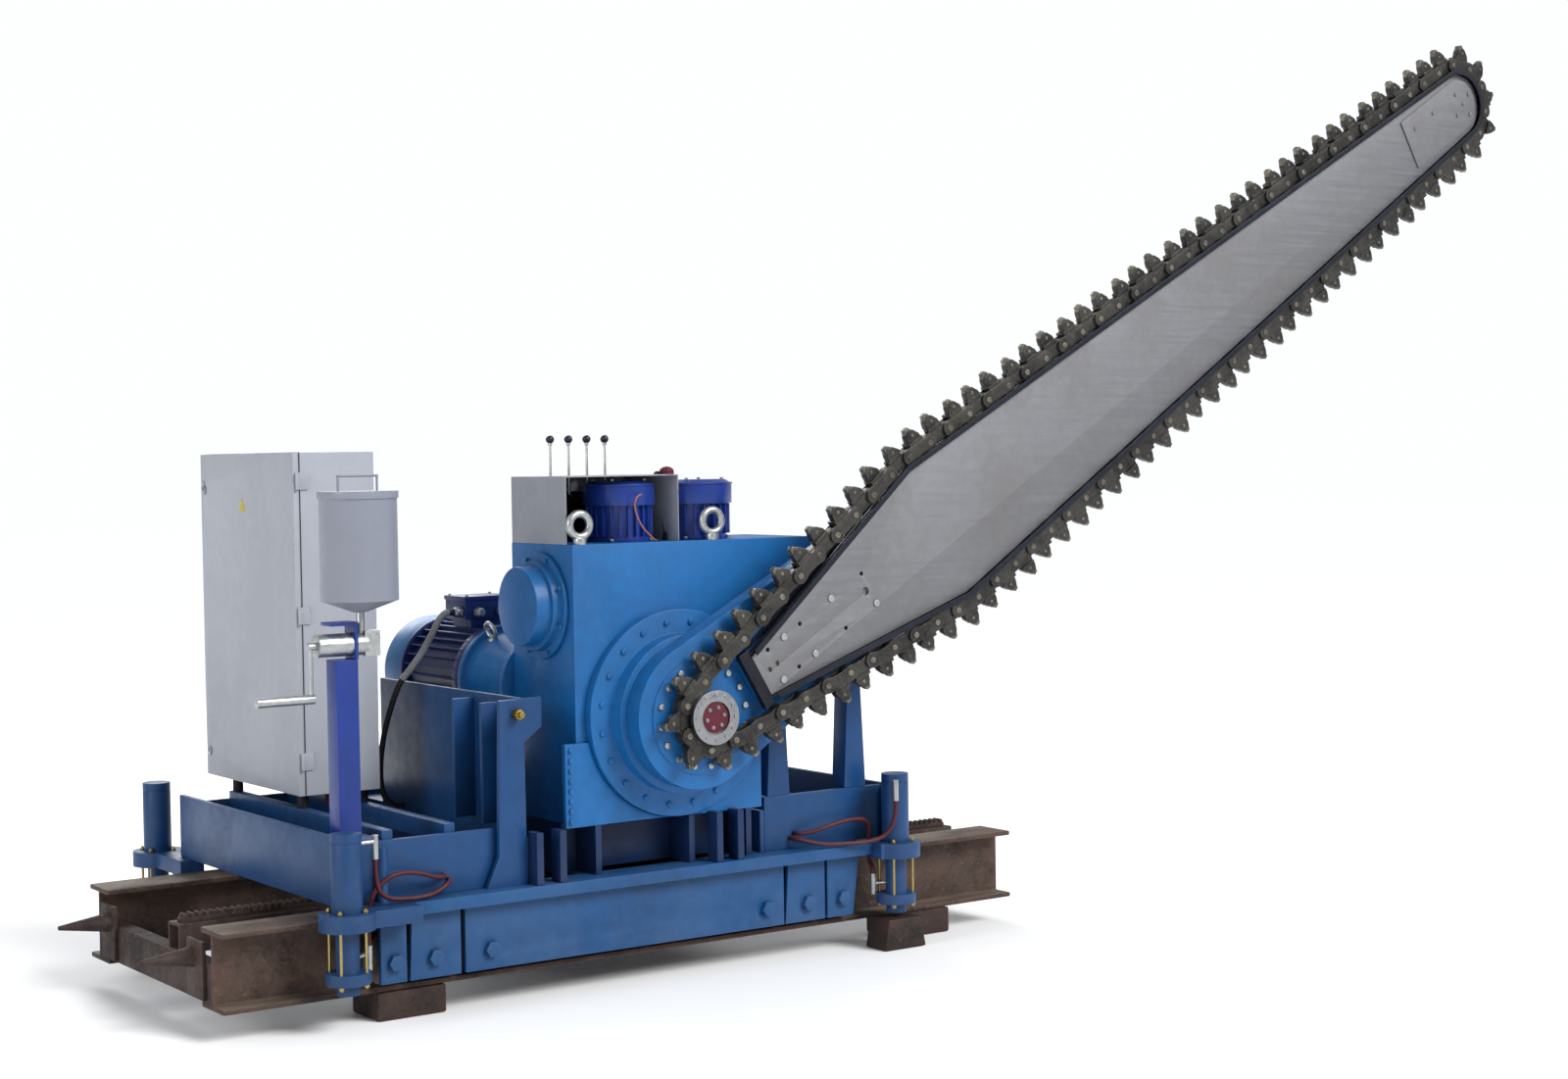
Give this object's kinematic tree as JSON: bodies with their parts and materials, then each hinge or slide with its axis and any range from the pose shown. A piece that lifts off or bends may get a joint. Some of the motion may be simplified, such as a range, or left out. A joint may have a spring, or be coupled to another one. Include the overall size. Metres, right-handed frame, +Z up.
{
  "type": "quarry chain saw machine",
  "caption": "Rail-mounted stone-cutting chain saw: motor carriage on I-beam track, slewing bar with picked chain, jacks, switch cabinet and grease pump.",
  "frame": {"origin": "middle of the track on the ground", "axes": "+X along the rails, +Y towards the side away from the arm, +Z up"},
  "size_m": [6.1182, 1.9, 3.5888],
  "materials": {
    "rail_steel": "rusty rolled steel, worn on top",
    "rusty_steel": "dark rust",
    "packing_steel": "dark rusty",
    "frame_blue": "satin enamel with worn edges",
    "deck_blue": "satin enamel, scuffed",
    "gearbox_blue": "satin enamel",
    "dark_blue": "satin enamel in shade",
    "motor_blue": "satin enamel",
    "cowl_blue": "satin enamel",
    "pump_blue": "gloss enamel",
    "post_blue": "gloss enamel",
    "cabinet_grey": "fine texture powder coat",
    "hood_grey": "grey enamel",
    "reservoir_grey": "smooth enamel",
    "zinc": "bright zinc plate",
    "yellow_zinc": "yellow passivated zinc",
    "brass": "turned",
    "machined_steel": "turned steel",
    "bar_steel": "ground steel, lightly scratched",
    "guide_steel": "oily dark steel",
    "chain_steel": "oily dark steel",
    "pick_steel": "worn carbide holders",
    "wheel_iron": "worn cast iron",
    "black_rubber": "matt",
    "cable_black": "satin sheath",
    "hose_red": "dark red cover",
    "valve_black": "black enamel",
    "lever_chrome": "bright rod with black knob"
  },
  "bodies": {
    "track": {"rails": "rail_steel", "cross_ties": "rusty_steel", "rack_beam": "rusty_steel", "packing_blocks": "packing_steel", "coupling_cones": "rusty_steel"},
    "carriage": {"base_frame": "frame_blue", "deck_plates": "deck_blue", "skirts": "deck_blue", "skirt_bolts": "deck_blue", "gearbox_pedestal": "dark_blue", "gearbox_housing": "gearbox_blue", "front_plate": "gearbox_blue", "slewing_ring": "gearbox_blue", "side_cover": "gearbox_blue", "lifting_eyes": "zinc", "support_plate": "frame_blue", "brass_plug": "brass", "motor_bell": "gearbox_blue", "motor_body": "motor_blue", "motor_cowl": "cowl_blue", "terminal_box": "motor_blue", "pump_motors": "pump_blue", "console_hood": "hood_grey", "valve_block": "valve_black", "cabinet_shell": "cabinet_grey", "cabinet_mounts": "black_rubber", "grease_post": "post_blue", "grease_pump": "zinc", "grease_reservoir": "reservoir_grey", "jack_clamps": "frame_blue", "jack_barrels": "frame_blue", "jack_tie_rods": "yellow_zinc", "jack_valves": "zinc", "motor_cable": "cable_black", "jack_hoses": "hose_red"},
    "left_wheels": {"wheels_left": "wheel_iron"},
    "right_wheels": {"wheels_right": "wheel_iron"},
    "pinion": {"rack_pinion": "machined_steel"},
    "rotor": {"motor_rotor": "machined_steel"},
    "worm": {"slewing_worm": "machined_steel"},
    "sprocket": {"drive_shaft": "machined_steel", "sprocket": "machined_steel"},
    "arm": {"slewing_sleeve": "machined_steel", "arm_holder": "gearbox_blue", "bar": "bar_steel", "chain_guides": "guide_steel", "nose_plate": "bar_steel", "arm_bolts": "zinc", "chain_links": "chain_steel", "chain_picks": "pick_steel"},
    "jack_rod_fl": {"jack_rod_front_left": "frame_blue"},
    "jack_rod_fr": {"jack_rod_front_right": "frame_blue"},
    "jack_rod_bl": {"jack_rod_back_left": "frame_blue"},
    "jack_rod_br": {"jack_rod_back_right": "frame_blue"},
    "door": {"cabinet_door": "cabinet_grey"},
    "crank": {"pump_crank": "zinc"},
    "lever_1": {"lever_1": "lever_chrome"},
    "lever_2": {"lever_2": "lever_chrome"},
    "lever_3": {"lever_3": "lever_chrome"},
    "lever_4": {"lever_4": "lever_chrome"}
  },
  "joints": [
    {"name": "carriage_travel", "type": "slide", "parent": "track", "child": "carriage", "axis": [1, 0, 0], "range_m": [-0.35, 0.55]},
    {"name": "left_wheel_spin", "type": "hinge", "parent": "carriage", "child": "left_wheels", "pos_m": [-1.054, 0, 0.198], "axis": [0, 1, 0], "continuous": true},
    {"name": "right_wheel_spin", "type": "hinge", "parent": "carriage", "child": "right_wheels", "pos_m": [0.773, 0, 0.198], "axis": [0, 1, 0], "continuous": true},
    {"name": "pinion_spin", "type": "hinge", "parent": "carriage", "child": "pinion", "pos_m": [0.60319, -0.1935, 0.426], "axis": [0, 1, 0], "continuous": true},
    {"name": "arm_slew", "type": "hinge", "parent": "carriage", "child": "arm", "pos_m": [0.076, -0.8, 0.936], "axis": [0, 1, 0], "range_deg": [-270, 30]},
    {"name": "worm_spin", "type": "hinge", "parent": "carriage", "child": "worm", "pos_m": [0, -0.382, 1.324], "axis": [1, 0, 0], "continuous": true},
    {"name": "sprocket_spin", "type": "hinge", "parent": "carriage", "child": "sprocket", "pos_m": [0.076, -0.5, 0.936], "axis": [0, 1, 0], "continuous": true},
    {"name": "rotor_spin", "type": "hinge", "parent": "carriage", "child": "rotor", "pos_m": [-0.215, 0.3, 1.033], "axis": [0, 1, 0], "continuous": true},
    {"name": "jack_front_left", "type": "slide", "parent": "carriage", "child": "jack_rod_fl", "axis": [0, 0, -1], "range_m": [0, 0.125]},
    {"name": "jack_front_right", "type": "slide", "parent": "carriage", "child": "jack_rod_fr", "axis": [0, 0, -1], "range_m": [0, 0.014]},
    {"name": "jack_back_left", "type": "slide", "parent": "carriage", "child": "jack_rod_bl", "axis": [0, 0, -1], "range_m": [0, 0.125]},
    {"name": "jack_back_right", "type": "slide", "parent": "carriage", "child": "jack_rod_br", "axis": [0, 0, -1], "range_m": [0, 0.125]},
    {"name": "door_swing", "type": "hinge", "parent": "carriage", "child": "door", "pos_m": [-1.066, 0.016, 1.275], "axis": [0, 0, 1], "range_deg": [0, 110]},
    {"name": "crank_turn", "type": "hinge", "parent": "carriage", "child": "crank", "pos_m": [-1.24, -0.52, 1.24], "axis": [1, 0, 0], "continuous": true},
    {"name": "lever_1_tilt", "type": "hinge", "parent": "carriage", "child": "lever_1", "pos_m": [-0.202, -0.24, 1.701], "axis": [1, 0, 0], "range_deg": [-18, 18], "stiffness_Nm_per_rad": 2},
    {"name": "lever_2_tilt", "type": "hinge", "parent": "carriage", "child": "lever_2", "pos_m": [-0.126, -0.24, 1.701], "axis": [1, 0, 0], "range_deg": [-18, 18], "stiffness_Nm_per_rad": 2},
    {"name": "lever_3_tilt", "type": "hinge", "parent": "carriage", "child": "lever_3", "pos_m": [-0.05, -0.24, 1.701], "axis": [1, 0, 0], "range_deg": [-18, 18], "stiffness_Nm_per_rad": 2},
    {"name": "lever_4_tilt", "type": "hinge", "parent": "carriage", "child": "lever_4", "pos_m": [0.026, -0.24, 1.701], "axis": [1, 0, 0], "range_deg": [-18, 18], "stiffness_Nm_per_rad": 2}
  ],
  "couplings": [
    {"joint": "left_wheel_spin", "follows": "carriage_travel", "rad_per_m": 11.806},
    {"joint": "right_wheel_spin", "follows": "carriage_travel", "rad_per_m": 11.806},
    {"joint": "pinion_spin", "follows": "carriage_travel", "rad_per_m": 13.889},
    {"joint": "worm_spin", "follows": "arm_slew", "ratio": 40},
    {"joint": "rotor_spin", "follows": "sprocket_spin", "ratio": -3}
  ]
}
